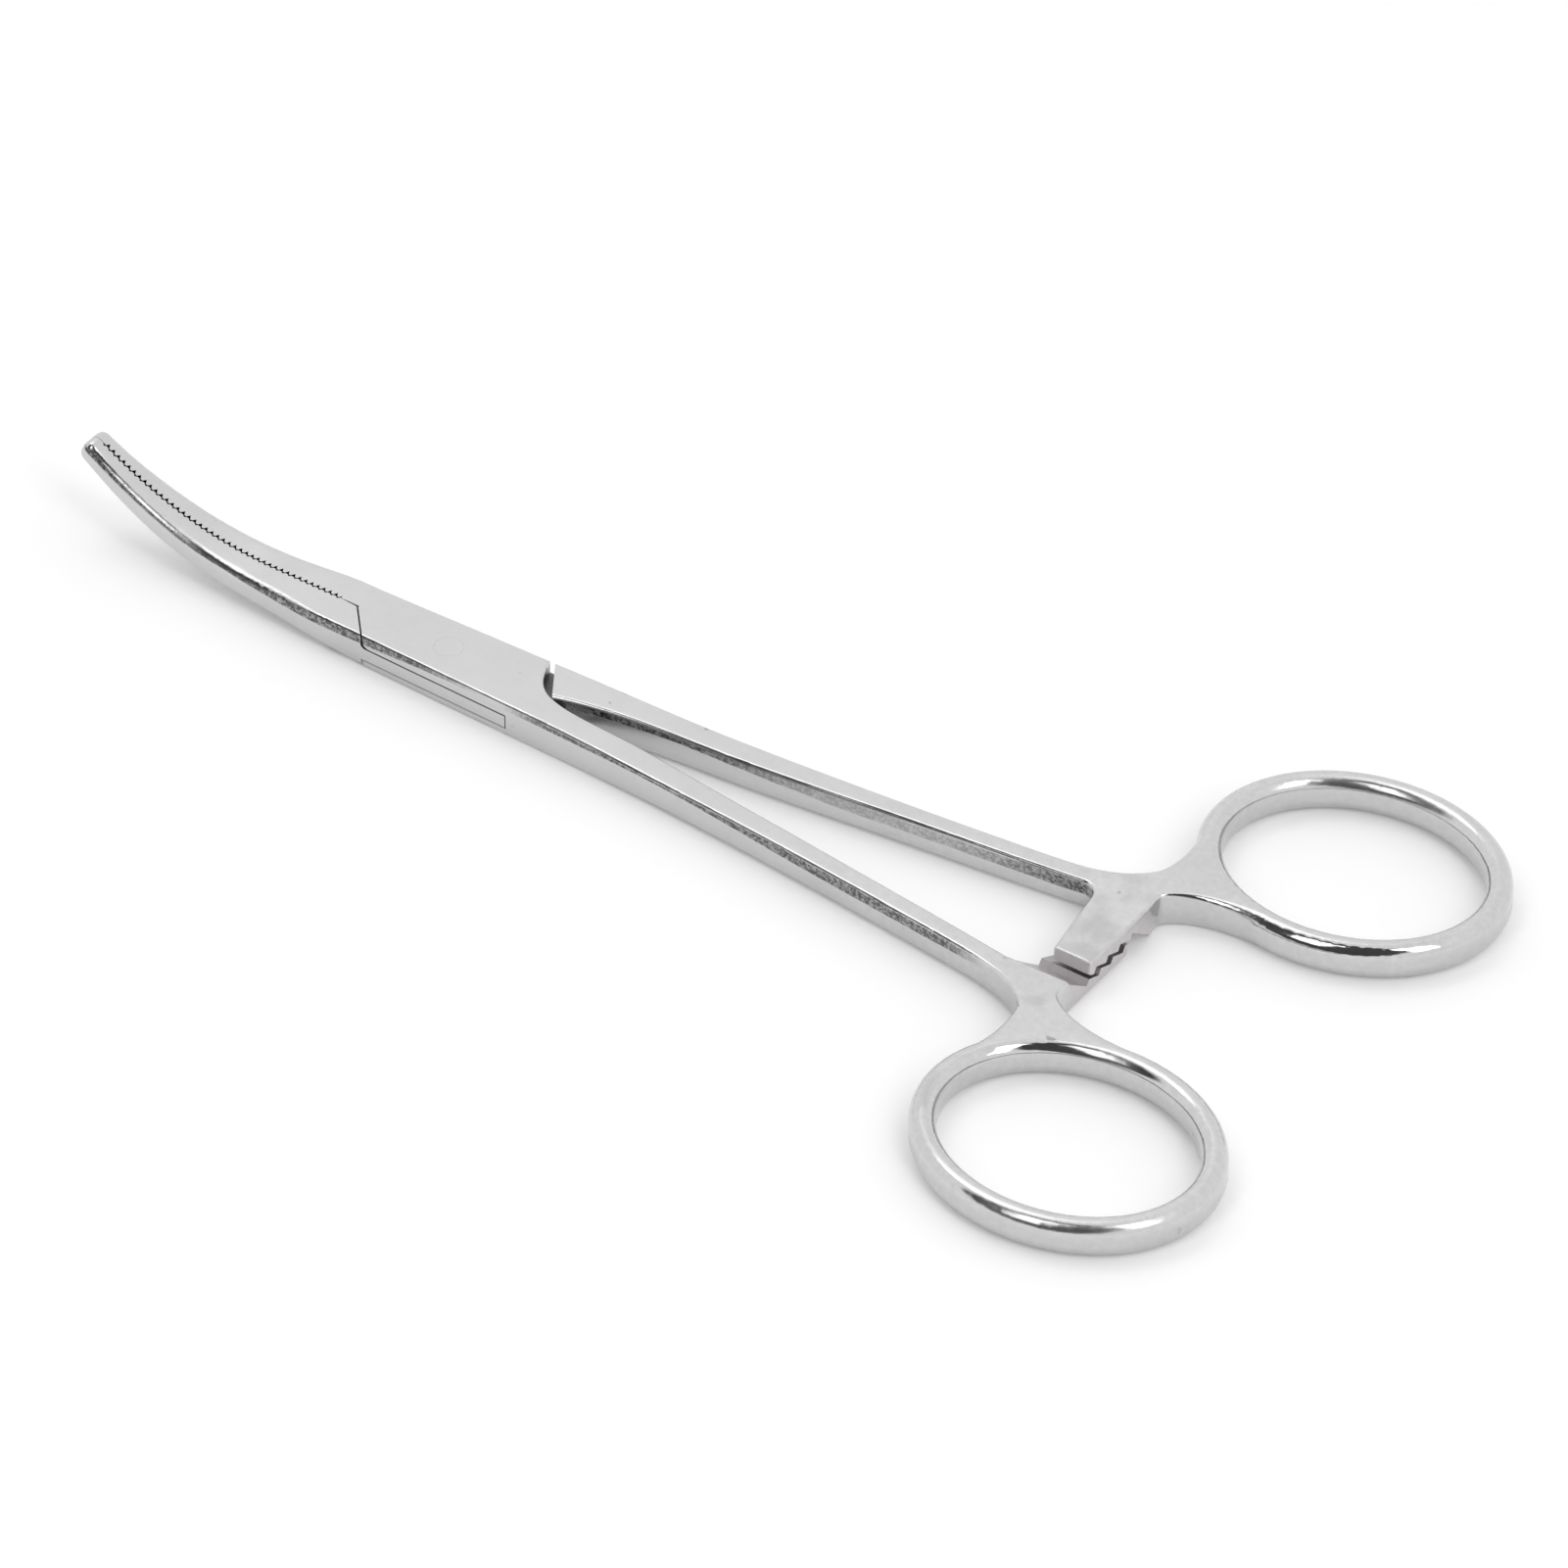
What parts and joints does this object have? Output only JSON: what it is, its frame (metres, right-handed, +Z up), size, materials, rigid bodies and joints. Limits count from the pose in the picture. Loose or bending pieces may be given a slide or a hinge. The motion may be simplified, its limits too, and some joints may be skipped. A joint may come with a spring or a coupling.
{
  "type": "hemostat forceps",
  "caption": "Curved artery forceps with a box lock, finger rings, grooved jaws and a toothed ratchet, closed at rest and opening about the lock.",
  "frame": {"origin": "on the hinge axis at the flat underside of the box", "axes": "+X along the instrument toward the finger rings, the jaw tips at -X; +Y across it toward the ring of the insert half; +Z up along the hinge axis, the way the jaws curve"},
  "size_m": [0.1405, 0.0702, 0.0097],
  "materials": {
    "box_half_steel": "satin stainless steel, polished on the rings and along the edges",
    "insert_half_steel": "satin stainless steel, polished on the rings and along the edges",
    "pin_steel": "stainless steel, ground flush with the box and polished with it"
  },
  "bodies": {
    "box_side": {"box_half": "box_half_steel", "lock_pin": "pin_steel"},
    "insert_side": {"insert_half": "insert_half_steel"}
  },
  "joints": [
    {"name": "box_lock_hinge", "type": "hinge", "parent": "box_side", "child": "insert_side", "pos_m": [0, 0, 0], "axis": [0, 0, 1], "range_deg": [0, 35]}
  ]
}
